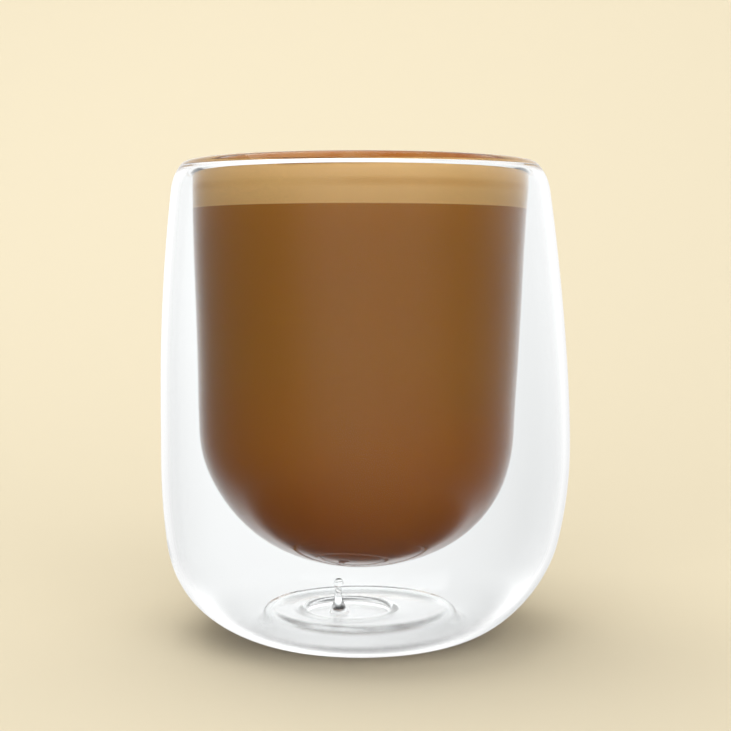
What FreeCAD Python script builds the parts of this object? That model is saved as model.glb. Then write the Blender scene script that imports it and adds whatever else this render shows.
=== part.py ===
# A double-walled tumbler of blown glass, filled with a flat white: coffee under milk foam.
# Millimetres, +Z up. The origin is on the axis, at the level of the table.
import FreeCAD, Part
import math
import os
import Sketcher
from FreeCAD import Vector

# The driving sizes: name, value and what it is. Radii of the outer wall are on its outside,
# and those of the bowl are on the side that holds the drink.
sizeRows = [
    ("overallHeight", 94.4, "table to the top of the rim"),
    ("widestRadius", 41.0, "axis to the belly"),
    ("widestLevel", 37.0, "level of the belly"),
    ("upperSideRadius", 403.0, "long arc above the belly"),
    ("lowerSideRadius", 100.0, "arc below the belly"),
    ("shoulderRadius", 9.2, "arc that turns the wall in to the rim"),
    ("cornerRadius", 24.7, "arc between side and foot"),
    ("rimRadius", 36.04, "axis to the outside of the rim's bead"),
    ("rimBead", 2.0, "radius of the bead that joins both walls"),
    ("crotchRadius", 0.7, "round end of the air gap under the bead"),
    ("outerWall", 1.5, "thickness of the outer wall"),
    ("bowlWall", 1.5, "thickness of the bowl"),
    ("bowlTaper", 2.15, "degrees that the bowl opens towards the rim"),
    ("bowlCornerRadius", 25.8, "arc between the bowl's side and floor"),
    ("bowlFloorRadius", 35.5, "arc of the bowl's floor, centred on the axis"),
    ("bowlFloorLevel", 15.1, "lowest point of the drink"),
    ("footRadius", 21.4, "axis to the middle of the foot ring"),
    ("footBead", 3.0, "round of the foot ring"),
    ("footGround", 0.1, "depth ground off the foot, which leaves a flat ring"),
    ("ridgeLevel", 4.8, "top of the ridge inside the foot, in the air gap"),
    ("ridgeRadius", 0.8, "round of that ridge on the underside"),
    ("dishLevel", 4.3, "middle of the pushed-up base, in the air gap"),
    ("sealShift", 2.8, "how far the seal was pressed to one side of the axis"),
    ("sealRadius", 9.6, "sunk disc that closes the air gap"),
    ("sealDepth", 0.8, "depth of that disc"),
    ("sealLip", 1.0, "glass left around the disc on the underside"),
    ("sealRound", 0.5, "round of its edge"),
    ("tipShift", 4.2, "axis to the drawn-out tip on the seal"),
    ("tipLevel", 12.0, "top of the tip"),
    ("tipBall", 1.1, "radius of the tip's bead"),
    ("tipNeck", 0.6, "radius of its neck"),
    ("tipRoot", 2.4, "radius where the tip leaves the seal"),
    ("fillGap", 0.2, "middle of the bead down to the foam"),
    ("foamHeight", 7.1, "thickness of the foam"),
    ("meniscusWidth", 1.0, "ring in which the foam climbs the wall"),
    ("meniscusRise", 0.2, "height that it climbs"),
]

doc = FreeCAD.newDocument("flatWhite")
sheet = doc.addObject("Spreadsheet::Sheet", "sizes")
for row, (name, value, note) in enumerate(sizeRows, start=1):
    sheet.set("A%d" % row, name)
    sheet.set("B%d" % row, str(value))
    sheet.set("C%d" % row, note)
    sheet.setAlias("B%d" % row, name)
doc.recompute()
size = {name: float(sheet.get(name)) for name, value, note in sizeRows}


# Plane geometry, as (distance from the axis, level)

def meet(first, reach, second, otherReach, pick):
    """The point at reach from first and otherReach from second: of the two, the one pick prefers."""
    across = (second[0] - first[0], second[1] - first[1])
    apart = math.hypot(*across)
    along = (reach ** 2 - otherReach ** 2 + apart ** 2) / (2 * apart)
    aside = math.sqrt(reach ** 2 - along ** 2)
    ways = [(first[0] + (along * across[0] - side * aside * across[1]) / apart,
             first[1] + (along * across[1] + side * aside * across[0]) / apart) for side in (1, -1)]
    return max(ways, key=pick)


def bearing(centre, target):
    """The angle in radians from centre to target."""
    return math.atan2(target[1] - centre[1], target[0] - centre[0])


def at(centre, radius, angle):
    return (centre[0] + radius * math.cos(angle), centre[1] + radius * math.sin(angle))


def higher(point):
    return point[1]


def lower(point):
    return -point[1]


taper = math.radians(size["bowlTaper"])
inward = (-math.cos(taper), math.sin(taper))
upward = (math.sin(taper), math.cos(taper))

# Centres of the outer wall's arcs, each found from the tangent arcs beside it
bead = (size["rimRadius"] - size["rimBead"], size["overallHeight"] - size["rimBead"])
upperSide = (size["widestRadius"] - size["upperSideRadius"], size["widestLevel"])
lowerSide = (size["widestRadius"] - size["lowerSideRadius"], size["widestLevel"])
shoulder = meet(upperSide, size["upperSideRadius"] - size["shoulderRadius"],
                bead, size["shoulderRadius"] - size["rimBead"], lower)
foot = (size["footRadius"], size["footBead"] - size["footGround"])
corner = meet(lowerSide, size["lowerSideRadius"] - size["cornerRadius"],
              foot, size["cornerRadius"] - size["footBead"], higher)
ridgeTop = size["ridgeRadius"] + size["outerWall"]
ridgeCentreLevel = size["ridgeLevel"] - ridgeTop
ridgeReach = size["footBead"] + size["ridgeRadius"]
ridge = (foot[0] - math.sqrt(ridgeReach ** 2 - (foot[1] - ridgeCentreLevel) ** 2), ridgeCentreLevel)
dishRise = size["dishLevel"] - ridge[1]
dishRadius = (ridge[0] ** 2 + dishRise ** 2 - ridgeTop ** 2) / (2 * (ridgeTop - dishRise))
dish = (0.0, size["dishLevel"] + dishRadius)

# Centres of the bowl's arcs. Its straight side is tangent to the rim's bead.
bowlFloor = (0.0, size["bowlFloorLevel"] + size["bowlFloorRadius"])
sideTop = (bead[0] + size["rimBead"] * inward[0], bead[1] + size["rimBead"] * inward[1])


def besideSide(depth, centre, reach, way):
    """The point at depth inward of the bowl's side and at reach from centre: upper or lower by way."""
    start = (sideTop[0] + depth * inward[0] - centre[0], sideTop[1] + depth * inward[1] - centre[1])
    along = start[0] * upward[0] + start[1] * upward[1]
    left = start[0] ** 2 + start[1] ** 2 - reach ** 2
    step = -along + way * math.sqrt(along ** 2 - left)
    return (centre[0] + start[0] + step * upward[0], centre[1] + start[1] + step * upward[1])


bowlCorner = besideSide(size["bowlCornerRadius"], bowlFloor,
                        size["bowlFloorRadius"] - size["bowlCornerRadius"], -1)
crotch = besideSide(-size["bowlWall"] - size["crotchRadius"], shoulder,
                    size["shoulderRadius"] - size["outerWall"] - size["crotchRadius"], 1)


def sideAt(level):
    """Distance from the axis to the bowl's straight side at a level."""
    return sideTop[0] + (level - sideTop[1]) * math.tan(taper)


# Sketches, all on the body's XZ plane: x is the distance from the axis, y is the level

class Outline:
    """A closed path of arcs and lines in a sketch, each joined to the one before it."""

    def __init__(self, body, name):
        self.sketch = body.newObject("Sketcher::SketchObject", name)
        plane = [item for item in body.Origin.OriginFeatures if item.Role == "XZ_Plane"][0]
        self.sketch.AttachmentSupport = [(plane, "")]
        self.sketch.MapMode = "FlatFace"
        self.ends = []
        self.named = {}

    def rule(self, *parts):
        return self.sketch.addConstraint(Sketcher.Constraint(*parts))

    def bind(self, formula, *parts):
        """A dimension that follows a formula of the sheet's values."""
        index = self.rule(*parts)
        self.sketch.setExpression("Constraints[%d]" % index, formula)

    def measure(self, name, *parts):
        """A named dimension that other sketches read and that drives nothing here."""
        index = self.rule(*parts)
        self.sketch.setDriving(index, False)
        self.sketch.renameConstraint(index, name)

    def join(self, smooth):
        """Join the last two pieces end to start, tangent or at a corner."""
        (before, _, out), (piece, into, _) = self.ends[-2:]
        self.rule("Tangent" if smooth else "Coincident", before, out, piece, into)

    def arc(self, name, centre, radius, start, end, formula=None, smooth=True):
        """An arc walked from start to end, clockwise where end is the smaller angle."""
        circle = Part.Circle(Vector(centre[0], centre[1], 0), Vector(0, 0, 1), radius)
        index = self.sketch.addGeometry(Part.ArcOfCircle(circle, min(start, end), max(start, end)))
        self.ends.append((index, 1, 2) if end > start else (index, 2, 1))
        self.named[name] = index
        if len(self.ends) > 1:
            self.join(smooth)
        if formula:
            self.bind(formula, "Radius", index, radius)
        return index

    def line(self, name, start, end, smooth=False):
        index = self.sketch.addGeometry(Part.LineSegment(Vector(*start, 0), Vector(*end, 0)))
        self.ends.append((index, 1, 2))
        self.named[name] = index
        if len(self.ends) > 1:
            self.join(smooth)
        return index

    def close(self):
        """Join the last piece to the first at a corner."""
        (first, into, _), (last, _, out) = self.ends[0], self.ends[-1]
        self.rule("Coincident", last, out, first, into)

    def onAxis(self, name, point=3):
        """Keep a piece's centre (3), start (1) or end (2) on the vertical axis."""
        self.rule("PointOnObject", self.named[name], point, -2)

    def spindle(self, shift, formula):
        """An upright axis to the left of the body's own, to revolve the outline about."""
        self.axis = self.sketch.addGeometry(
            Part.LineSegment(Vector(-shift, 0, 0), Vector(-shift, size["overallHeight"], 0)), True)
        self.rule("Vertical", self.axis)
        self.rule("PointOnObject", self.axis, 1, -1)
        self.bind(formula, "DistanceX", self.axis, 1, -1, 1, shift)
        self.bind("sizes.overallHeight", "DistanceY", self.axis, 1, self.axis, 2, size["overallHeight"])

    def onSpindle(self, name, point):
        self.rule("PointOnObject", self.named[name], point, self.axis)

    def across(self, name, point, value, formula):
        self.bind(formula, "DistanceX", -1, 1, self.named[name], point, value)

    def level(self, name, point, value, formula):
        self.bind(formula, "DistanceY", -1, 1, self.named[name], point, value)


def followSide(outline, thickness, behind):
    """Lay the bowl's side at its taper, at a thickness behind the face that the bead gives it."""
    line = outline.named["bowlSide"]
    outline.bind("90 deg - sizes.bowlTaper * 1 deg", "Angle", -1, 1, line, 2, math.pi / 2 - taper)
    mark = outline.sketch.addGeometry(Part.Point(Vector(sideAt(bead[1]) + thickness / math.cos(taper),
                                                        bead[1], 0)), True)
    outline.named["mark"] = mark
    outline.rule("PointOnObject", mark, 1, line)
    outline.across("mark", 1, sideAt(bead[1]) + thickness / math.cos(taper),
                   "sizes.rimRadius - sizes.rimBead - (sizes.rimBead%s) / cos(sizes.bowlTaper * 1 deg)"
                   % behind)
    outline.level("mark", 1, bead[1], "sizes.overallHeight - sizes.rimBead")


def revolve(body, kind, outline, name, axis="V_Axis"):
    """A full turn of the outline: a Revolution adds, a Groove cuts."""
    feature = body.newObject("PartDesign::" + kind, name)
    feature.Profile = outline.sketch
    feature.ReferenceAxis = (outline.sketch, [axis])
    feature.Angle = 360
    outline.sketch.Visibility = False
    doc.recompute()
    return feature


def drawShell(outline, inset, isAir):
    """The outer wall from the axis to the shoulder, on its outside or an inset further in."""
    back = " - sizes.outerWall" if isAir else ""
    out = " + sizes.outerWall" if isAir else ""
    dishEnd = bearing(dish, ridge)
    ridgeEnd = bearing(ridge, foot)
    cornerEnd = bearing(lowerSide, corner)
    sideEnd = bearing(upperSide, shoulder)
    footStart = ridgeEnd + math.pi
    footEnd = bearing(corner, foot)
    outline.arc("dish", dish, dishRadius + size["outerWall"] - inset, -math.pi / 2, dishEnd)
    outline.arc("ridge", ridge, size["ridgeRadius"] + inset, dishEnd + math.pi, ridgeEnd,
                "sizes.ridgeRadius" + out)
    if isAir:
        outline.arc("foot", foot, size["footBead"] - inset, footStart, footEnd + 2 * math.pi,
                    "sizes.footBead" + back)
    else:
        half = math.acos(foot[1] / size["footBead"])
        left = at(foot, size["footBead"], 1.5 * math.pi - half)
        right = at(foot, size["footBead"], half - math.pi / 2)
        outline.arc("foot", foot, size["footBead"], footStart, 1.5 * math.pi - half,
                    "sizes.footBead")
        outline.line("ground", left, right)
        outline.arc("footOut", foot, size["footBead"], half - math.pi / 2, footEnd, smooth=False)
        outline.rule("Coincident", outline.named["foot"], 3, outline.named["footOut"], 3)
        outline.rule("Equal", outline.named["foot"], outline.named["footOut"])
        outline.rule("PointOnObject", outline.named["ground"], 1, -1)
        outline.rule("PointOnObject", outline.named["ground"], 2, -1)
    outline.arc("corner", corner, size["cornerRadius"] - inset, footEnd, cornerEnd,
                "sizes.cornerRadius" + back)
    outline.arc("lowerSide", lowerSide, size["lowerSideRadius"] - inset, cornerEnd, 0.0,
                "sizes.lowerSideRadius" + back)
    outline.arc("upperSide", upperSide, size["upperSideRadius"] - inset, 0.0, sideEnd,
                "sizes.upperSideRadius" + back)
    outline.onAxis("dish")
    outline.onAxis("dish", 1)
    outline.level("dish", 1, size["dishLevel"] - size["outerWall"] + inset,
                  "sizes.dishLevel" + ("" if isAir else " - sizes.outerWall"))
    outline.level("ridge", 3, ridge[1], "sizes.ridgeLevel - sizes.ridgeRadius - sizes.outerWall")
    outline.across("foot", 3, foot[0], "sizes.footRadius")
    outline.level("foot", 3, foot[1], "sizes.footBead - sizes.footGround")
    outline.across("lowerSide", 2, size["widestRadius"] - inset, "sizes.widestRadius" + back)
    outline.level("lowerSide", 2, size["widestLevel"], "sizes.widestLevel")
    outline.level("lowerSide", 3, size["widestLevel"], "sizes.widestLevel")


def drawBowl(outline, fromLevel, thickness, isAir):
    """The bowl from a level on its straight side down to the axis."""
    out = " + sizes.bowlWall" if isAir else ""
    turn = bearing(bowlFloor, bowlCorner)
    sideStart = (sideAt(fromLevel) + thickness / math.cos(taper), fromLevel)
    sideEnd = at(bowlCorner, size["bowlCornerRadius"] + thickness, -taper)
    outline.line("bowlSide", sideStart, sideEnd, smooth=True)
    outline.arc("bowlCorner", bowlCorner, size["bowlCornerRadius"] + thickness, -taper, turn,
                "sizes.bowlCornerRadius" + out)
    outline.arc("bowlFloor", bowlFloor, size["bowlFloorRadius"] + thickness, turn, -math.pi / 2,
                "sizes.bowlFloorRadius" + out)
    outline.onAxis("bowlFloor")
    outline.onAxis("bowlFloor", 1)
    outline.level("bowlFloor", 1, size["bowlFloorLevel"] - thickness,
                  "sizes.bowlFloorLevel" + (" - sizes.bowlWall" if isAir else ""))


# The glass: one wall section, with the air gap and its seal cut and built inside it

glass = doc.addObject("PartDesign::Body", "glass")
glass.Label = "glass"

section = Outline(glass, "wallSection")
drawShell(section, 0.0, False)
shoulderEnd = bearing(shoulder, bead)
section.arc("shoulder", shoulder, size["shoulderRadius"], bearing(upperSide, shoulder), shoulderEnd,
            "sizes.shoulderRadius")
section.arc("bead", bead, size["rimBead"], shoulderEnd, math.pi - taper, "sizes.rimBead")
drawBowl(section, sideTop[1], 0.0, False)
section.line("axis", (0.0, size["bowlFloorLevel"]), (0.0, size["dishLevel"] - size["outerWall"]))
section.close()
section.across("bead", 3, bead[0], "sizes.rimRadius - sizes.rimBead")
section.level("bead", 3, bead[1], "sizes.overallHeight - sizes.rimBead")
section.bind("90 deg - sizes.bowlTaper * 1 deg", "Angle", -1, 1, section.named["bowlSide"], 2,
             math.pi / 2 - taper)
section.measure("shoulderAcross", "DistanceX", -1, 1, section.named["shoulder"], 3, shoulder[0])
section.measure("shoulderLevel", "DistanceY", -1, 1, section.named["shoulder"], 3, shoulder[1])
revolve(glass, "Revolution", section, "walls")

gap = Outline(glass, "airGap")
drawShell(gap, size["outerWall"], True)
crotchStart = bearing(shoulder, crotch)
gap.arc("shoulder", shoulder, size["shoulderRadius"] - size["outerWall"],
        bearing(upperSide, shoulder), crotchStart, "sizes.shoulderRadius - sizes.outerWall")
gap.arc("crotch", crotch, size["crotchRadius"], crotchStart, math.pi - taper,
        "sizes.crotchRadius")
drawBowl(gap, crotch[1] + size["crotchRadius"] * inward[1], size["bowlWall"], True)
gap.line("axis", (0.0, size["bowlFloorLevel"] - size["bowlWall"]), (0.0, size["dishLevel"]))
gap.close()
gap.level("shoulder", 3, shoulder[1], "wallSection.Constraints.shoulderLevel")
followSide(gap, size["bowlWall"], " - sizes.bowlWall")
revolve(glass, "Groove", gap, "airGap")

# The seal: a disc sunk into the base, off the axis, with the tip that was drawn out to close it
sealTop = size["dishLevel"] - size["sealDepth"]
sealUnder = sealTop - size["outerWall"]


def drawDisc(outline, shift, radius, radiusFormula, floor, floorFormula, roof, roofFormula):
    """A disc beside the axis, with a round lower edge, from floor to roof."""
    outline.spindle(shift, "sizes.sealShift")
    edge = size["sealRound"]
    outline.line("floor", (-shift, floor), (radius - edge - shift, floor))
    outline.arc("edge", (radius - edge - shift, floor + edge), edge, -math.pi / 2, 0.0,
                "sizes.sealRound")
    outline.line("side", (radius - shift, floor + edge), (radius - shift, roof), smooth=True)
    outline.line("roof", (radius - shift, roof), (-shift, roof))
    outline.line("middle", (-shift, roof), (-shift, floor))
    outline.close()
    outline.rule("Horizontal", outline.named["floor"])
    outline.rule("Horizontal", outline.named["roof"])
    outline.rule("Vertical", outline.named["side"])
    outline.onSpindle("middle", 1)
    outline.onSpindle("middle", 2)
    outline.bind(radiusFormula, "DistanceX", outline.named["middle"], 1, outline.named["roof"], 1, radius)
    outline.level("floor", 1, floor, floorFormula)
    outline.level("roof", 1, roof, roofFormula)


sealBoss = Outline(glass, "sealBossSection")
drawDisc(sealBoss, size["sealShift"], size["sealRadius"] + size["sealLip"],
         "sizes.sealRadius + sizes.sealLip",
         sealUnder, "sizes.dishLevel - sizes.sealDepth - sizes.outerWall",
         size["dishLevel"] - size["outerWall"] / 2, "sizes.dishLevel - sizes.outerWall / 2")
revolve(glass, "Revolution", sealBoss, "sealBoss", "Axis0")

sealRecess = Outline(glass, "sealRecessSection")
drawDisc(sealRecess, size["sealShift"], size["sealRadius"], "sizes.sealRadius",
         sealTop, "sizes.dishLevel - sizes.sealDepth",
         size["ridgeLevel"] + size["sealDepth"], "sizes.ridgeLevel + sizes.sealDepth")
revolve(glass, "Groove", sealRecess, "sealRecess", "Axis0")

# The tip stands with its root sunk half a wall into the disc
tip = Outline(glass, "tipSection")
shift = size["tipShift"]
ballCentre = (-shift, size["tipLevel"] - size["tipBall"])
neckLevel = ballCentre[1] - math.sqrt(size["tipBall"] ** 2 - size["tipNeck"] ** 2)
flareWidth = size["tipRoot"] - size["tipNeck"]
flareHeight = neckLevel - sealTop
flareRadius = (flareWidth ** 2 + flareHeight ** 2) / (2 * flareWidth)
flareCentre = (size["tipNeck"] + flareRadius - shift, neckLevel)
rootLevel = sealTop - size["outerWall"] / 2
tip.spindle(shift, "sizes.tipShift")
tip.line("floor", (-shift, rootLevel), (size["tipRoot"] - shift, rootLevel))
tip.line("root", (size["tipRoot"] - shift, rootLevel), (size["tipRoot"] - shift, sealTop))
tip.arc("flare", flareCentre, flareRadius,
        bearing(flareCentre, (size["tipRoot"] - shift, sealTop)) + 2 * math.pi, math.pi, smooth=False)
tip.arc("ball", ballCentre, size["tipBall"],
        bearing(ballCentre, (size["tipNeck"] - shift, neckLevel)), math.pi / 2,
        "sizes.tipBall", smooth=False)
tip.line("middle", (-shift, size["tipLevel"]), (-shift, rootLevel))
tip.close()
tip.rule("Horizontal", tip.named["floor"])
tip.rule("Vertical", tip.named["root"])
tip.onSpindle("middle", 1)
tip.onSpindle("middle", 2)
tip.onSpindle("ball", 3)
tip.rule("Horizontal", tip.named["flare"], 3, tip.named["flare"], 1)
tip.bind("sizes.tipNeck", "DistanceX", tip.named["middle"], 1, tip.named["ball"], 1, size["tipNeck"])
tip.bind("sizes.tipRoot", "DistanceX", tip.named["middle"], 2, tip.named["floor"], 2, size["tipRoot"])
tip.level("ball", 2, size["tipLevel"], "sizes.tipLevel")
tip.level("root", 2, sealTop, "sizes.dishLevel - sizes.sealDepth")
tip.level("root", 1, rootLevel, "sizes.dishLevel - sizes.sealDepth - sizes.outerWall / 2")
revolve(glass, "Revolution", tip, "tip", "Axis0")


# The drink, which fills the bowl from its floor: coffee, then foam

foamLevel = bead[1] - size["fillGap"]
coffeeLevel = foamLevel - size["foamHeight"]
coffeeFormula = "sizes.overallHeight - sizes.rimBead - sizes.fillGap - sizes.foamHeight"

coffee = doc.addObject("PartDesign::Body", "coffee")
coffee.Label = "coffee"
cup = Outline(coffee, "coffeeSection")
drawBowl(cup, coffeeLevel, 0.0, False)
cup.line("middle", (0.0, size["bowlFloorLevel"]), (0.0, coffeeLevel))
cup.line("surface", (0.0, coffeeLevel), (sideAt(coffeeLevel), coffeeLevel))
cup.close()
cup.rule("Horizontal", cup.named["surface"])
cup.onAxis("middle", 2)
cup.level("surface", 1, coffeeLevel, coffeeFormula)
followSide(cup, 0.0, "")
revolve(coffee, "Revolution", cup, "drink")

foam = doc.addObject("PartDesign::Body", "foam")
foam.Label = "foam"
layer = Outline(foam, "foamSection")
edgeLevel = foamLevel + size["meniscusRise"]
edge = sideAt(edgeLevel)
flat = edge - size["meniscusWidth"]
bend = (size["meniscusWidth"] ** 2 + size["meniscusRise"] ** 2) / (2 * size["meniscusRise"])
layer.line("bowlSide", (edge, edgeLevel), (sideAt(coffeeLevel), coffeeLevel))
layer.line("floor", (sideAt(coffeeLevel), coffeeLevel), (0.0, coffeeLevel))
layer.line("middle", (0.0, coffeeLevel), (0.0, foamLevel))
layer.line("surface", (0.0, foamLevel), (flat, foamLevel))
layer.arc("meniscus", (flat, foamLevel + bend), bend, -math.pi / 2,
          bearing((flat, foamLevel + bend), (edge, edgeLevel)))
layer.close()
layer.rule("Horizontal", layer.named["floor"])
layer.rule("Horizontal", layer.named["surface"])
layer.onAxis("middle", 1)
layer.onAxis("middle", 2)
layer.level("middle", 1, coffeeLevel, coffeeFormula)
layer.level("middle", 2, foamLevel, "sizes.overallHeight - sizes.rimBead - sizes.fillGap")
layer.bind("sizes.meniscusWidth", "DistanceX", layer.named["surface"], 2, layer.named["bowlSide"], 1,
           size["meniscusWidth"])
layer.bind("sizes.meniscusRise", "DistanceY", layer.named["surface"], 2, layer.named["bowlSide"], 1,
           size["meniscusRise"])
followSide(layer, 0.0, "")
revolve(foam, "Revolution", layer, "froth")


# Each piece is checked, then written to its own file

doc.recompute()
for item in doc.Objects:
    if "Invalid" in item.State or "Error" in item.State:
        raise RuntimeError(item.Name + " failed to recompute")
    if item.isDerivedFrom("Sketcher::SketchObject") and not item.FullyConstrained:
        raise RuntimeError(item.Name + " isn't fully constrained")

os.makedirs("parts", exist_ok=True)
for piece in (glass, coffee, foam):
    shape = piece.Shape
    if shape.isNull() or not shape.isValid() or len(shape.Solids) != 1:
        raise RuntimeError(piece.Label + " isn't one valid solid")
    shape.exportStep("parts/" + piece.Label + ".step")
    print("%s: %.2f cm3" % (piece.Label, shape.Volume / 1000))
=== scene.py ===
import math

import bmesh
import bpy
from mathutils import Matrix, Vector


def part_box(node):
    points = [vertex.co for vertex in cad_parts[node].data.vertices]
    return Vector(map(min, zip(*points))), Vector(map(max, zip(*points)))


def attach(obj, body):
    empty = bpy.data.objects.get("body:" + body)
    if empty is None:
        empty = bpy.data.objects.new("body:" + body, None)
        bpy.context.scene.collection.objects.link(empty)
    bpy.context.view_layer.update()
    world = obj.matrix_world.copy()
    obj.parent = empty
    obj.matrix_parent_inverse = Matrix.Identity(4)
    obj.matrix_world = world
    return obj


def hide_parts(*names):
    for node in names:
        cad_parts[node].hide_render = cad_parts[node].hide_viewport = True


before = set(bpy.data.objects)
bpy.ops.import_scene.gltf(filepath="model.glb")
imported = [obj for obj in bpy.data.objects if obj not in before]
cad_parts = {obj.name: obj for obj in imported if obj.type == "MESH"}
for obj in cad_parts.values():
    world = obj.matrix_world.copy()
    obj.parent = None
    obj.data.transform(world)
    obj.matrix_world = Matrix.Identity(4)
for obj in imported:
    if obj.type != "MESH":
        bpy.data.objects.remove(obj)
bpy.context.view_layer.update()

# A flat white in a double-walled glass: blown glass with a sealed air gap, milky coffee, milk foam.
# Sizes are millimetres unless a comment says otherwise, with z up from the table; mm turns them into
# metres. Noise scales count per metre.
mm = 0.001
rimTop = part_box("glass")[1].z / mm
leanRoom = 0.02        # the belly is this much slimmer than its solid, so that the walls can lean
bellyRadius = -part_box("glass")[0].x / mm - leanRoom
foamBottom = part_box("foam")[0].z / mm
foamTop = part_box("foam")[1].z / mm
grain = 1.8            # outlines are stepped this many times as coarsely as each one asks
weld = 0.002           # points nearer than this become one
crease = 40            # edges that turn by more degrees than this stay sharp


# colours and nodes

def fromHex(code):
    channels = [int(code[i:i + 2], 16) / 255 for i in (1, 3, 5)]
    linear = [c / 12.92 if c <= 0.04045 else ((c + 0.055) / 1.055) ** 2.4 for c in channels]
    return (*linear, 1.0)


def addNode(tree, kind, inputs=None, **settings):
    # inputs are values or other nodes' sockets, by name or by number
    node = tree.nodes.new(kind)
    for name, value in settings.items():
        setattr(node, name, value)
    for name, value in (inputs or {}).items():
        socket = next(s for i, s in enumerate(node.inputs) if s.enabled and name in (s.name, i))
        if isinstance(value, bpy.types.NodeSocket):
            tree.links.new(value, socket)
        else:
            socket.default_value = value
    return node


def addRamp(tree, value, stops):
    # a run of colours over a value from 0 to 1, as (place, colour) pairs in order
    ramp = addNode(tree, "ShaderNodeValToRGB", {"Fac": value})
    elements = ramp.color_ramp.elements
    for spot, (place, colour) in enumerate(stops):
        stop = elements[spot] if spot < 2 else elements.new(1.0)
        stop.position, stop.color = place, colour
    return ramp.outputs["Color"]


def newMaterial(name):
    material = bpy.data.materials.new(name)
    material.use_nodes = True
    tree = material.node_tree
    tree.nodes.clear()
    shader = addNode(tree, "ShaderNodeBsdfPrincipled")
    addNode(tree, "ShaderNodeOutputMaterial", {"Surface": shader.outputs["BSDF"]})
    return material, tree, shader


# outlines: arcs in the upright plane, as (distance from the axis, level)

def bearing(centre, target):
    return math.atan2(target[1] - centre[1], target[0] - centre[0])


def meet(first, reach, second, otherReach, upper):
    # the upper or lower of the two points that lie so far from the one centre and from the other
    across = (second[0] - first[0], second[1] - first[1])
    apart = math.hypot(*across)
    along = (reach ** 2 - otherReach ** 2 + apart ** 2) / (2 * apart)
    aside = math.sqrt(reach ** 2 - along ** 2)
    ways = [(first[0] + (along * across[0] - side * aside * across[1]) / apart,
             first[1] + (along * across[1] + side * aside * across[0]) / apart) for side in (1, -1)]
    return max(ways, key=lambda point: point[1] if upper else -point[1])


def arcPoints(centre, radius, start, end, step):
    count = max(2, math.ceil(abs(end - start) * radius / (step * grain)))
    angles = [start + (end - start) * i / count for i in range(count)]
    return [(centre[0] + radius * math.cos(a), centre[1] + radius * math.sin(a)) for a in angles]


def linePoints(start, end, step):
    count = max(1, math.ceil(math.dist(start, end) / (step * grain)))
    return [(start[0] + (end[0] - start[0]) * i / count,
             start[1] + (end[1] - start[1]) * i / count) for i in range(count)]


# the glass

glassSizes = {
    "belly": (bellyRadius, 37.0),        # widest radius and its level
    "upperSide": 403.0, "lowerSide": 100.0, "shoulder": 9.2, "corner": 24.7,
    "rim": (36.04, rimTop), "bead": 2.0, "crotch": 0.7,
    "outerWall": 1.5, "bowlWall": 1.5,
    "taper": math.radians(2.15), "bowlCorner": 25.8, "bowlFloor": 35.5, "bowlFloorLevel": 15.1,
    "foot": 21.4, "footBead": 3.0, "footGround": 0.1,
    "ridgeLevel": 4.8, "ridge": 0.8, "dishLevel": 4.3,
    # the sunk disc that seals the gap, as (place beside the axis, radius): the dish has risen this
    # much where the disc's edge meets it, and the disc's flat stops at these radii outside and inside
    "seal": (-2.3, 8.6), "sealDepth": 1.3, "sealLip": 1.0, "sealRound": 0.9, "sealRise": 0.12,
    "outerFlat": 0.3, "innerFlat": 5.2,
    "dishFrom": 13.6,                    # the dish is turned from here outwards; the seal fills the rest
    # the drawn-off tip inside the gap: its place beside the axis, its level, and its radii
    "tip": -4.2, "tipLevel": 10.4, "tipBall": 1.0, "tipNeck": 0.6, "tipRoot": 2.0,
    "bowlFrom": 13.3, "bowlReach": 1.0,  # glass above this level and this near the wall is the bowl
    "turns": 224, "sectors": 16,         # steps round the axis, spun a sector at a time
    # (level, sideways shift) of hand-blown walls, which never sit quite true; both agree at the rim
    "outerLean": [(0.0, -0.9), (6.0, -1.35), (12.0, -1.15), (18.0, -0.7), (27.0, -0.25), (37.0, 0.0),
                  (47.0, -0.1), (60.0, -0.42), (75.0, -0.74), (90.0, -1.0), (94.4, -1.15)],
    "bowlLean": [(13.0, -1.05), (20.0, -0.95), (28.0, -1.2), (36.0, -1.7), (44.0, -1.8), (55.0, -1.55),
                 (65.0, -1.42), (75.0, -1.35), (84.0, -1.2), (90.0, -1.0), (94.4, -1.15)],
    # the finish: index, body and specular colours, faint patches, and a softer base up to a level
    "index": 1.47, "clear": "#fdfefe", "sheen": "#4b4b4b",
    "patchScale": 60.0, "patchRange": (0.35, 0.8), "patchRough": 0.03,
    "baseLevels": (6.0, 16.0), "baseRough": 0.09,
}
g = glassSizes
taper = g["taper"]
inward = (-math.cos(taper), math.sin(taper))
upward = (math.sin(taper), math.cos(taper))
bead = (g["rim"][0] - g["bead"], g["rim"][1] - g["bead"])
upperSide = (g["belly"][0] - g["upperSide"], g["belly"][1])
lowerSide = (g["belly"][0] - g["lowerSide"], g["belly"][1])
shoulder = meet(upperSide, g["upperSide"] - g["shoulder"], bead, g["shoulder"] - g["bead"], False)
foot = (g["foot"], g["footBead"] - g["footGround"])
corner = meet(lowerSide, g["lowerSide"] - g["corner"], foot, g["corner"] - g["footBead"], True)
ridgeTop = g["ridge"] + g["outerWall"]
ridgeLevel = g["ridgeLevel"] - ridgeTop
ridgeIn = math.sqrt((g["footBead"] + g["ridge"]) ** 2 - (foot[1] - ridgeLevel) ** 2)
ridge = (foot[0] - ridgeIn, ridgeLevel)
dishRise = g["dishLevel"] - ridge[1]
dishRadius = (ridge[0] ** 2 + dishRise ** 2 - ridgeTop ** 2) / (2 * (ridgeTop - dishRise))
dish = (0.0, g["dishLevel"] + dishRadius)
bowlFloor = (0.0, g["bowlFloorLevel"] + g["bowlFloor"])
sideTop = (bead[0] + g["bead"] * inward[0], bead[1] + g["bead"] * inward[1])


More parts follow.
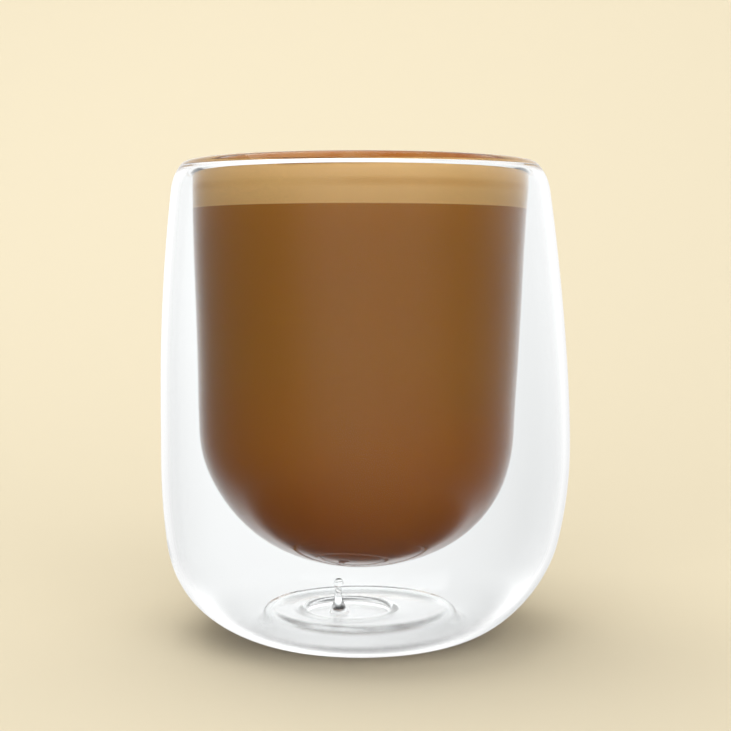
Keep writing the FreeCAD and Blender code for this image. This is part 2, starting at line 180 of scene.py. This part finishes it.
def besideSide(depth, centre, reach, way):
    # the point this deep inside the bowl's side that lies so far from a centre
    start = (sideTop[0] + depth * inward[0] - centre[0], sideTop[1] + depth * inward[1] - centre[1])
    along = start[0] * upward[0] + start[1] * upward[1]
    step = -along + way * math.sqrt(along ** 2 - start[0] ** 2 - start[1] ** 2 + reach ** 2)
    return (centre[0] + start[0] + step * upward[0], centre[1] + start[1] + step * upward[1])


bowlCorner = besideSide(g["bowlCorner"], bowlFloor, g["bowlFloor"] - g["bowlCorner"], -1)
crotch = besideSide(-g["bowlWall"] - g["crotch"], shoulder,
                    g["shoulder"] - g["outerWall"] - g["crotch"], 1)


def sideAt(level):
    # radius of the bowl's side on the drink's face
    return sideTop[0] + (level - sideTop[1]) * math.tan(taper)


def bowlOutline(topLevel, back):
    # the bowl from a level on its side down to the axis, on a face that lies back from the drink
    step = 0.8
    turn = bearing(bowlFloor, bowlCorner)
    top = (sideAt(topLevel) + back / math.cos(taper), topLevel)
    sideEnd = (bowlCorner[0] + (g["bowlCorner"] + back) * math.cos(taper),
               bowlCorner[1] - (g["bowlCorner"] + back) * math.sin(taper))
    points = linePoints(top, sideEnd, step)
    points += arcPoints(bowlCorner, g["bowlCorner"] + back, -taper, turn, step)
    points += arcPoints(bowlFloor, g["bowlFloor"] + back, turn, -math.pi / 2, step)
    return points + [(0.0, g["bowlFloorLevel"] - back)]


def shellOutline(inset, fromRadius):
    # the outer wall from the ridge of the base up to the shoulder, on its outside or its gap side
    ridgeEnd = bearing(ridge, foot)
    footEnd = bearing(corner, foot)
    ridgeRadius = g["ridge"] + inset
    dishSide = dishRadius + g["outerWall"] - inset
    points = arcPoints(dish, dishSide, -math.pi / 2 + math.asin(fromRadius / dishSide),
                       bearing(dish, ridge), step=0.3)
    points += arcPoints(ridge, ridgeRadius, bearing(dish, ridge) + math.pi, ridgeEnd, step=0.15)
    if inset:
        points += arcPoints(foot, g["footBead"] - inset, ridgeEnd + math.pi,
                            footEnd + 2 * math.pi, step=0.15)
    else:
        # the foot's bead is ground flat where it stands
        half = math.acos(foot[1] / g["footBead"])
        down = 1.5 * math.pi
        points += arcPoints(foot, g["footBead"], ridgeEnd + math.pi, down - half, step=0.2)
        points += linePoints((foot[0] - g["footBead"] * math.sin(half), 0.0),
                             (foot[0] + g["footBead"] * math.sin(half), 0.0), step=0.4)
        points += arcPoints(foot, g["footBead"], down + half, footEnd + 2 * math.pi, step=0.2)
    cornerEnd = bearing(lowerSide, corner)
    points += arcPoints(corner, g["corner"] - inset, footEnd, cornerEnd, step=0.6)
    points += arcPoints(lowerSide, g["lowerSide"] - inset, cornerEnd, 0.0, step=1.5)
    points += arcPoints(upperSide, g["upperSide"] - inset, 0.0, bearing(upperSide, shoulder), step=2.0)
    return points


def joinTo(mesh, part):
    data = bpy.data.meshes.new("part")
    part.to_mesh(data)
    part.free()
    mesh.from_mesh(data)
    bpy.data.meshes.remove(data)


def spinOutline(mesh, points, centre=0.0):
    # a full turn of an open outline about an upright axis at x = centre: one sector, then its copies
    part = bmesh.new()
    verts = [part.verts.new(((centre + r) * mm, 0, z * mm)) for r, z in points]
    edges = [part.edges.new(pair) for pair in zip(verts, verts[1:])]
    sector = 2 * math.pi / g["sectors"]
    turn = {"cent": (centre * mm, 0, 0), "axis": (0, 0, 1)}
    bmesh.ops.spin(part, geom=verts + edges, angle=sector, steps=g["turns"] // g["sectors"], **turn)
    bmesh.ops.spin(part, geom=part.verts[:] + part.edges[:] + part.faces[:], use_duplicate=True,
                   angle=2 * math.pi - sector, steps=g["sectors"] - 1, **turn)
    bmesh.ops.remove_doubles(part, verts=part.verts, dist=weld * mm)
    joinTo(mesh, part)


def closeUp(mesh):
    # welds what meets and turns every face outwards
    bmesh.ops.remove_doubles(mesh, verts=mesh.verts, dist=weld * mm)
    bmesh.ops.recalc_face_normals(mesh, faces=mesh.faces)


def shiftAt(lean, level):
    # smooth curve through the (level, shift) pairs
    last = len(lean) - 2
    spot = max((i for i in range(last + 1) if lean[i][0] <= level), default=0)
    (low, start), (high, end) = lean[spot], lean[spot + 1]
    before, after = lean[max(spot - 1, 0)], lean[min(spot + 2, last + 1)]
    part = min(max((level - low) / (high - low), 0.0), 1.0)
    leave = (end - before[1]) / (high - before[0]) * (high - low)
    arrive = (after[1] - start) / (after[0] - low) * (high - low)
    return ((2 * part ** 3 - 3 * part ** 2 + 1) * start + (part ** 3 - 2 * part ** 2 + part) * leave
            + (3 * part ** 2 - 2 * part ** 3) * end + (part ** 3 - part ** 2) * arrive)


def leanOver(mesh):
    # the bowl and what fills it lean one way, the outer wall and base another
    for vert in mesh.verts:
        level = vert.co.z / mm
        reach = math.hypot(vert.co.x, vert.co.y) / mm
        inBowl = level > g["bowlFrom"] and reach < sideAt(level) + g["bowlWall"] + g["bowlReach"]
        vert.co.x += shiftAt(g["bowlLean"] if inBowl else g["outerLean"], level) * mm


def bridgeRings(mesh, first, second):
    # faces between two open rings, each given as (centre x, radius, level)
    near = 0.01

    def ringEdges(ring):
        centre, radius, level = ring

        def lies(vert):
            away = math.hypot(vert.co.x / mm - centre, vert.co.y / mm) - radius
            return abs(away) < near and abs(vert.co.z / mm - level) < near

        return [e for e in mesh.edges if e.is_boundary and lies(e.verts[0]) and lies(e.verts[1])]

    bmesh.ops.bridge_loops(mesh, edges=ringEdges(first) + ringEdges(second))


def makeShell(outline, under):
    # one closed skin of the glass: outline is (radius, level) points, under says outside or gap side
    mesh = bmesh.new()
    sealCentre, sealRadius = g["seal"]
    edge = g["sealRound"]
    level = g["dishLevel"] - (g["outerWall"] if under else 0.0)
    radius = sealRadius + (g["sealLip"] if under else 0.0)
    floor = level - g["sealDepth"]
    flatEnd = g["outerFlat"] if under else g["innerFlat"]
    level += g["sealRise"]
    turn = math.acos(1 - (level - floor) / (2 * edge))
    aside = edge * math.sin(turn)
    seal = arcPoints((radius + aside, level - edge), edge, math.pi / 2, math.pi / 2 + turn, step=0.12)
    seal += arcPoints((radius - aside, floor + edge), edge, turn - math.pi / 2, -math.pi / 2,
                      step=0.12)
    seal += linePoints((radius - aside, floor), (flatEnd, floor), step=1.0)
    seal += [(flatEnd, floor), (0.0, floor)] if under else [(flatEnd, floor)]
    spinOutline(mesh, outline)
    spinOutline(mesh, seal, sealCentre)
    bridgeRings(mesh, (0.0, *outline[0]), (sealCentre, *seal[0]))
    if not under:
        ball = (0.0, g["tipLevel"] - g["tipBall"])
        neckLevel = ball[1] - math.sqrt(g["tipBall"] ** 2 - g["tipNeck"] ** 2)
        width = g["tipRoot"] - g["tipNeck"]
        height = neckLevel - floor
        flare = (width ** 2 + height ** 2) / (2 * width)
        centre = (g["tipNeck"] + flare, neckLevel)
        start = bearing(centre, (g["tipRoot"], floor)) % (2 * math.pi)
        tip = arcPoints(centre, flare, start, math.pi, step=0.25)
        tip += arcPoints(ball, g["tipBall"], bearing(ball, (g["tipNeck"], neckLevel)), math.pi / 2,
                         step=0.12)
        tip += [(0.0, g["tipLevel"])]
        spinOutline(mesh, tip, g["tip"])
        bridgeRings(mesh, (sealCentre, *seal[-1]), (g["tip"], *tip[0]))
    closeUp(mesh)
    return mesh


def meshObject(name, mesh, material):
    data = bpy.data.meshes.new(name)
    mesh.to_mesh(data)
    mesh.free()
    data.shade_smooth()
    data.set_sharp_from_angle(angle=math.radians(crease))
    data.materials.append(material)
    piece = bpy.data.objects.new(name, data)
    bpy.context.scene.collection.objects.link(piece)
    return piece


def glassMaterial():
    # borosilicate tube, blown and fire-polished: clear, with patches that soften its reflections a
    # little and a softer base, which was worked longest. The specular tint is darker than real glass
    # has, to keep the walls from greying the coffee seen through them.
    material, tree, shader = newMaterial("borosilicateBlownFirePolished")
    shader.inputs["IOR"].default_value = g["index"]
    shader.inputs["Transmission Weight"].default_value = 1.0
    shader.inputs["Base Color"].default_value = fromHex(g["clear"])
    shader.inputs["Specular Tint"].default_value = fromHex(g["sheen"])
    place = addNode(tree, "ShaderNodeTexCoord").outputs["Object"]
    haze = addNode(tree, "ShaderNodeTexNoise", {"Vector": place, "Scale": g["patchScale"],
                                                "Detail": 3.0})
    faint, full = g["patchRange"]
    polish = addNode(tree, "ShaderNodeMapRange", {"Value": haze.outputs["Fac"], "From Min": faint,
                                                  "From Max": full, "To Max": g["patchRough"]})
    level = addNode(tree, "ShaderNodeSeparateXYZ", {"Vector": place}).outputs["Z"]
    low, high = g["baseLevels"]
    base = addNode(tree, "ShaderNodeMapRange", {"Value": level, "From Min": low * mm,
                                                "From Max": high * mm,
                                                "To Min": g["baseRough"], "To Max": 0.0},
                   interpolation_type="SMOOTHSTEP")
    rough = addNode(tree, "ShaderNodeMath", {0: polish.outputs["Result"], 1: base.outputs["Result"]},
                    operation="ADD")
    tree.links.new(rough.outputs[0], shader.inputs["Roughness"])
    return material


def makeGlass():
    print("glass: outer skin, sealed gap, seal and tip")
    shoulderEnd = bearing(shoulder, bead)
    outside = shellOutline(0.0, g["dishFrom"])
    outside += arcPoints(shoulder, g["shoulder"], bearing(upperSide, shoulder), shoulderEnd,
                         step=0.5)
    outside += arcPoints(bead, g["bead"], shoulderEnd, math.pi - taper, step=0.15)
    outside += bowlOutline(sideTop[1], 0.0)
    gapSide = shellOutline(g["outerWall"], g["dishFrom"])
    crotchStart = bearing(shoulder, crotch)
    gapSide += arcPoints(shoulder, g["shoulder"] - g["outerWall"], bearing(upperSide, shoulder),
                         crotchStart, step=0.4)
    gapSide += arcPoints(crotch, g["crotch"], crotchStart, math.pi - taper, step=0.12)
    gapSide += bowlOutline(crotch[1] + g["crotch"] * inward[1], g["bowlWall"])
    skin = makeShell(outside, True)
    gap = makeShell(gapSide, False)
    bmesh.ops.reverse_faces(gap, faces=gap.faces)
    joinTo(skin, gap)
    leanOver(skin)
    piece = meshObject("blownGlass", skin, glassMaterial())
    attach(piece, "root")
    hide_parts("glass")


makeGlass()


# the drink

drinkSizes = {
    "intoWall": 0.12,      # how far the drink reaches into the bowl's glass, so that no air shows
    "coffeeTop": foamBottom, "foamTop": foamTop,
    "meniscus": (1.0, 0.2),                # width and rise of the foam's edge at the wall
    # painted shade on the coffee: a darker tone low in the bowl and a lighter, lit tone higher up,
    # between these levels
    "coffeeShadeLevels": (15.0, 55.0), "coffeeShadedLow": "#b7652a", "coffeeLitHigh": "#bd8038",
    "swirlScale": 45.0, "swirlDrift": 8.0,
    # the foam's side: where its bands start and end, and (part of the way up, colour) for each
    "foamLevels": (85.1, 92.6), "foamScale": 55.0, "foamDrift": 0.4,
    "foamBands": [(0.0, "#fcd08a"), (0.58, "#fcd08a"), (0.80, "#ffd18d"), (0.91, "#ffd18d"),
                  (0.95, "#f0bd76"), (1.0, "#934f05")],
    # brown smears in the foam: levels where they start, are full, begin to fade and are gone
    "smearLevels": (87.8, 89.0, 89.2, 90.3), "smearScale": 38.0, "smearRange": (0.42, 0.62),
    "smear": "#f0bd76",
    # the crema from the middle outwards: how far it spreads, how far clouds push it, and its bands
    "cremaReach": 34.0, "cremaScale": 55.0, "cremaDrift": (-6.0, 5.0),
    "cremaBands": [(0.0, "#d6b382"), (0.45, "#c99c66"), (0.78, "#aa7840"), (1.0, "#934f05")],
    "bubbleScale": 2500.0, "dimple": 0.2,  # bubbles of about 0.4, and the depth of their bumps
}


def coffeeMaterial():
    # espresso stirred into steamed milk: opaque and smooth, with painted shade: darker towards the
    # bottom, where less light falls, and lighter higher up
    d = drinkSizes
    material, tree, shader = newMaterial("espressoWithSteamedMilk")
    place = addNode(tree, "ShaderNodeTexCoord").outputs["Object"]
    level = addNode(tree, "ShaderNodeSeparateXYZ", {"Vector": place}).outputs["Z"]
    swirl = addNode(tree, "ShaderNodeTexNoise", {"Vector": place, "Scale": d["swirlScale"],
                                                 "Detail": 2.0, "Roughness": 0.4})
    drift = addNode(tree, "ShaderNodeMapRange", {"Value": swirl.outputs["Fac"],
                                                 "To Min": -d["swirlDrift"] * mm,
                                                 "To Max": d["swirlDrift"] * mm})
    stirred = addNode(tree, "ShaderNodeMath", {0: level, 1: drift.outputs["Result"]}, operation="ADD")
    # painted shade: the colour lightens up the bowl, from the shaded low tone to the lit high tone
    low, high = d["coffeeShadeLevels"]
    rise = addNode(tree, "ShaderNodeMapRange", {"Value": stirred.outputs[0], "From Min": low * mm,
                                                "From Max": high * mm})
    colour = addRamp(tree, rise.outputs["Result"], [(0.0, fromHex(d["coffeeShadedLow"])),
                                                    (1.0, fromHex(d["coffeeLitHigh"]))])
    tree.links.new(colour, shader.inputs["Base Color"])
    shader.inputs["Roughness"].default_value = 0.5
    shader.inputs["Specular IOR Level"].default_value = 0.02
    return material


def foamMaterial():
    # steamed milk foam stained by coffee, against the glass: a paler top band, brown smears below it,
    # a crema edge at the wall, and fine bubbles
    d = drinkSizes
    material, tree, shader = newMaterial("milkFoamAgainstGlass")
    place = addNode(tree, "ShaderNodeTexCoord").outputs["Object"]
    flat = addNode(tree, "ShaderNodeMapping", {"Vector": place, "Scale": (1.0, 1.0, 3.0)})
    waver = addNode(tree, "ShaderNodeTexNoise", {"Vector": flat.outputs["Vector"],
                                                 "Scale": d["foamScale"], "Detail": 3.0})
    level = addNode(tree, "ShaderNodeSeparateXYZ", {"Vector": place}).outputs["Z"]
    drift = addNode(tree, "ShaderNodeMapRange", {"Value": waver.outputs["Fac"], "From Min": 0.3,
                                                 "From Max": 0.7, "To Min": -d["foamDrift"] * mm,
                                                 "To Max": d["foamDrift"] * mm})
    height = addNode(tree, "ShaderNodeMath", {0: level, 1: drift.outputs["Result"]}, operation="ADD")
    low, high = d["foamLevels"]
    spread = addNode(tree, "ShaderNodeMapRange", {"Value": height.outputs[0], "From Min": low * mm,
                                                  "From Max": high * mm})
    bands = addRamp(tree, spread.outputs["Result"],
                    [(part, fromHex(colour)) for part, colour in d["foamBands"]])
    start, full, fade, gone = [level * mm for level in d["smearLevels"]]
    near = addNode(tree, "ShaderNodeMapRange", {"Value": level, "From Min": start, "From Max": full},
                   interpolation_type="SMOOTHSTEP")
    past = addNode(tree, "ShaderNodeMapRange", {"Value": level, "From Min": gone, "From Max": fade},
                   interpolation_type="SMOOTHSTEP")
    patch = addNode(tree, "ShaderNodeTexNoise", {"Vector": place, "Scale": d["smearScale"],
                                                 "Detail": 2.0})
    none, most = d["smearRange"]
    some = addNode(tree, "ShaderNodeMapRange", {"Value": patch.outputs["Fac"], "From Min": none,
                                                "From Max": most})
    band = addNode(tree, "ShaderNodeMath", {0: near.outputs["Result"], 1: past.outputs["Result"]},
                   operation="MULTIPLY")
    smear = addNode(tree, "ShaderNodeMath", {0: band.outputs[0], 1: some.outputs["Result"]},
                    operation="MULTIPLY")
    smeared = addNode(tree, "ShaderNodeMix", {"Factor": smear.outputs[0], "A": bands,
                                              "B": fromHex(d["smear"])}, data_type="RGBA")
    bubbles = addNode(tree, "ShaderNodeTexVoronoi", {"Vector": place, "Scale": d["bubbleScale"]})
    speck = addNode(tree, "ShaderNodeMapRange", {"Value": bubbles.outputs["Distance"], "To Min": 0.94,
                                                 "To Max": 1.03})
    tinted = addNode(tree, "ShaderNodeVectorMath", {0: smeared.outputs[2], 1: speck.outputs["Result"]},
                     operation="MULTIPLY")
    tree.links.new(tinted.outputs[0], shader.inputs["Base Color"])
    shader.inputs["Roughness"].default_value = 0.7
    shader.inputs["Specular IOR Level"].default_value = 0.05
    return material


def cremaMaterial():
    # crema on the foam: a dark hazelnut ring at the wall that fades through tan into milk clouds at the
    # middle, nearly matt, with fine bubbles
    d = drinkSizes
    material, tree, shader = newMaterial("cremaOnMilkFoam")
    place = addNode(tree, "ShaderNodeTexCoord").outputs["Object"]
    cloud = addNode(tree, "ShaderNodeTexNoise", {"Vector": place, "Scale": d["cremaScale"],
                                                 "Detail": 4.0, "Roughness": 0.55,
                                                 "Distortion": 0.6})
    flat = addNode(tree, "ShaderNodeMapping", {"Vector": place, "Scale": (1.0, 1.0, 0.0)})
    reach = addNode(tree, "ShaderNodeVectorMath", {0: flat.outputs["Vector"]}, operation="LENGTH")
    inwards, outwards = d["cremaDrift"]
    drift = addNode(tree, "ShaderNodeMapRange", {"Value": cloud.outputs["Fac"], "From Min": 0.3,
                                                 "From Max": 0.7, "To Min": inwards * mm,
                                                 "To Max": outwards * mm})
    wander = addNode(tree, "ShaderNodeMath", {0: reach.outputs["Value"], 1: drift.outputs["Result"]},
                     operation="ADD")
    spread = addNode(tree, "ShaderNodeMapRange", {"Value": wander.outputs[0],
                                                  "From Max": d["cremaReach"] * mm})
    blend = addRamp(tree, spread.outputs["Result"],
                    [(part, fromHex(colour)) for part, colour in d["cremaBands"]])
    bubbles = addNode(tree, "ShaderNodeTexVoronoi", {"Vector": place, "Scale": d["bubbleScale"]})
    speck = addNode(tree, "ShaderNodeMapRange", {"Value": bubbles.outputs["Distance"], "To Min": 0.88,
                                                 "To Max": 1.06})
    tinted = addNode(tree, "ShaderNodeVectorMath", {0: blend, 1: speck.outputs["Result"]},
                     operation="MULTIPLY")
    tree.links.new(tinted.outputs[0], shader.inputs["Base Color"])
    dimple = addNode(tree, "ShaderNodeBump", {"Height": bubbles.outputs["Distance"], "Strength": 0.25,
                                              "Distance": d["dimple"] * mm})
    tree.links.new(dimple.outputs["Normal"], shader.inputs["Normal"])
    shader.inputs["Roughness"].default_value = 0.6
    shader.inputs["Specular IOR Level"].default_value = 0.02
    return material


def makeDrink():
    print("drink: coffee and foam")
    d = drinkSizes
    into = d["intoWall"]
    top = d["coffeeTop"]
    coffee = bmesh.new()
    outline = linePoints((0.0, top), (sideAt(top) + into, top), step=1.0) + bowlOutline(top, into)
    spinOutline(coffee, outline)
    closeUp(coffee)
    leanOver(coffee)
    piece = meshObject("coffeeWithMilk", coffee, coffeeMaterial())
    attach(piece, "root")
    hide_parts("coffee")
    foam = bmesh.new()
    width, rise = d["meniscus"]
    foamLevel = d["foamTop"] - rise
    bend = (width ** 2 + rise ** 2) / (2 * rise)
    edge = (sideAt(foamLevel + rise), foamLevel + rise)
    outline = linePoints((0.0, foamLevel), (edge[0] - width, foamLevel), step=0.8)
    outline += arcPoints((edge[0] - width, foamLevel + bend), bend, -math.pi / 2,
                         -math.pi / 2 + math.asin(width / bend), step=0.2)
    outline += [edge, (edge[0] + into, edge[1])]
    outline += linePoints((edge[0] + into, edge[1]), (sideAt(top) + into, top), step=0.5)
    outline += linePoints((sideAt(top) + into, top), (0.0, top), step=1.0)
    outline += [(0.0, top)]
    spinOutline(foam, outline)
    closeUp(foam)
    for face in foam.faces:    # what faces up is crema, the rest is foam
        face.material_index = 1 if face.normal.z > 0.5 else 0
    leanOver(foam)
    piece = meshObject("milkFoam", foam, foamMaterial())
    piece.data.materials.append(cremaMaterial())
    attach(piece, "root")
    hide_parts("foam")


makeDrink()


# the stage: a pale sweep, soft light and the camera

stageSizes = {
    "sweep": "#c8bea6",    # matt cream paper
    "halfWidth": 3000.0, "front": 3000.0, "behind": 1500.0, "bend": 1300.0, "height": 2500.0,
    # a long lens a little below the rim's level, tilted down by a few degrees
    "camera": (0.0, -300.0, 74.1), "tilt": 3.853, "lens": 73.477425, "sensor": 36.0,
    # light passes many faces of glass on its way
    "bounces": 32, "glossyBounces": 24,
}


def makeSweep():
    print("stage: sweep")
    s = stageSizes
    mesh = bmesh.new()
    outline = [(-s["front"], 0.0), (s["behind"] - s["bend"], 0.0)]
    outline += arcPoints((s["behind"] - s["bend"], s["bend"]), s["bend"], -math.pi / 2, 0.0,
                         step=40)
    outline += [(s["behind"], s["bend"]), (s["behind"], s["height"])]
    verts = [mesh.verts.new((-s["halfWidth"] * mm, y * mm, z * mm)) for y, z in outline]
    edges = [mesh.edges.new(pair) for pair in zip(verts, verts[1:])]
    grown = bmesh.ops.extrude_edge_only(mesh, edges=edges)
    bmesh.ops.translate(mesh, vec=(2 * s["halfWidth"] * mm, 0, 0),
                        verts=[v for v in grown["geom"] if isinstance(v, bmesh.types.BMVert)])
    material, tree, shader = newMaterial("sweepPaper")
    shader.inputs["Base Color"].default_value = fromHex(s["sweep"])
    shader.inputs["Roughness"].default_value = 0.9
    shader.inputs["Specular IOR Level"].default_value = 0.1
    sweep = meshObject("sweep", mesh, material)
    # the glass shows the studio instead of the paper, which keeps its walls clear
    sweep.visible_transmission = False
    sweep.visible_glossy = False


lightSizes = {
    # (height of a direction, how bright it is): shaded table below, bright edge, greyer far wall
    "shades": [(-0.81, 0.10), (-0.69, 0.28), (-0.57, 1.3), (-0.42, 0.84), (-0.30, 0.74), (-0.16, 0.77),
               (0.0, 0.86), (0.1, 0.88)],
    # (sideways part of a direction, how bright it is): dimmer to both sides, most of all the left
    "across": [(-0.85, 0.4), (-0.55, 0.9), (-0.35, 1.0), (0.0, 1.0), (0.15, 0.86), (0.35, 0.86),
               (0.5, 1.0), (0.85, 0.75)],
    "back": 1.3, "front": 0.60,            # strength of the room behind the glass and before it
    # a soft lamp in the room: its direction, its strength, and the likeness to it where it starts
    "key": (0.09, -1.0, 0.40), "keyPower": 2.85, "keyStart": 0.5,
    # a square lamp over the table, in metres and watts
    "top": (-0.2, 0.1, 1.0), "topTarget": (0.0, 0.0, 0.05), "topSize": 0.9, "topPower": 6.0,
}


def profile(tree, value, pairs):
    # a run of greys over one part of the direction, from -1 to 1
    spread = addNode(tree, "ShaderNodeMapRange", {"Value": value, "From Min": -1.0, "From Max": 1.0})
    return addRamp(tree, spread.outputs["Result"],
                   [((level + 1) / 2, (grey, grey, grey, 1)) for level, grey in pairs])


def makeLight():
    print("stage: light")
    s = lightSizes
    world = bpy.data.worlds.new("studio")
    world.use_nodes = True
    tree = world.node_tree
    way = addNode(tree, "ShaderNodeTexCoord").outputs["Generated"]
    axes = addNode(tree, "ShaderNodeSeparateXYZ", {"Vector": way}).outputs
    shade = addNode(tree, "ShaderNodeVectorMath", {0: profile(tree, axes["Z"], s["shades"]),
                                                   1: profile(tree, axes["X"], s["across"])},
                    operation="MULTIPLY")
    room = addNode(tree, "ShaderNodeMapRange", {"Value": axes["Y"], "From Min": -0.5, "From Max": 0.5,
                                                "To Min": s["front"], "To Max": s["back"]})
    toKey = addNode(tree, "ShaderNodeVectorMath", {0: way, 1: Vector(s["key"]).normalized()},
                    operation="DOT_PRODUCT")
    lamp = addNode(tree, "ShaderNodeMapRange", {"Value": toKey.outputs["Value"],
                                                "From Min": s["keyStart"], "To Max": s["keyPower"]},
                   interpolation_type="SMOOTHERSTEP")
    strength = addNode(tree, "ShaderNodeMath", {0: room.outputs["Result"], 1: lamp.outputs["Result"]},
                       operation="ADD")
    tree.links.new(shade.outputs[0], tree.nodes["Background"].inputs["Color"])
    tree.links.new(strength.outputs[0], tree.nodes["Background"].inputs["Strength"])
    bpy.context.scene.world = world
    lamp = bpy.data.lights.new("top", "AREA")
    lamp.shape = "RECTANGLE"
    lamp.size = lamp.size_y = s["topSize"]
    lamp.energy = s["topPower"]
    light = bpy.data.objects.new("top", lamp)
    light.location = s["top"]
    aim = Vector(s["topTarget"]) - Vector(s["top"])
    light.rotation_euler = aim.to_track_quat("-Z", "Y").to_euler()
    bpy.context.scene.collection.objects.link(light)


def makeCamera():
    print("stage: camera")
    s = stageSizes
    camera = bpy.data.cameras.new("camera")
    camera.sensor_width = s["sensor"]
    camera.lens = s["lens"]
    holder = bpy.data.objects.new("camera", camera)
    holder.location = [part * mm for part in s["camera"]]
    holder.rotation_euler = (math.radians(90 - s["tilt"]), 0, 0)
    bpy.context.scene.collection.objects.link(holder)
    bpy.context.scene.camera = holder


makeSweep()
makeLight()
makeCamera()
bpy.context.scene.view_settings.view_transform = "Standard"
bpy.context.scene.cycles.max_bounces = stageSizes["bounces"]
bpy.context.scene.cycles.transmission_bounces = stageSizes["bounces"]
bpy.context.scene.cycles.glossy_bounces = stageSizes["glossyBounces"]

print("done")
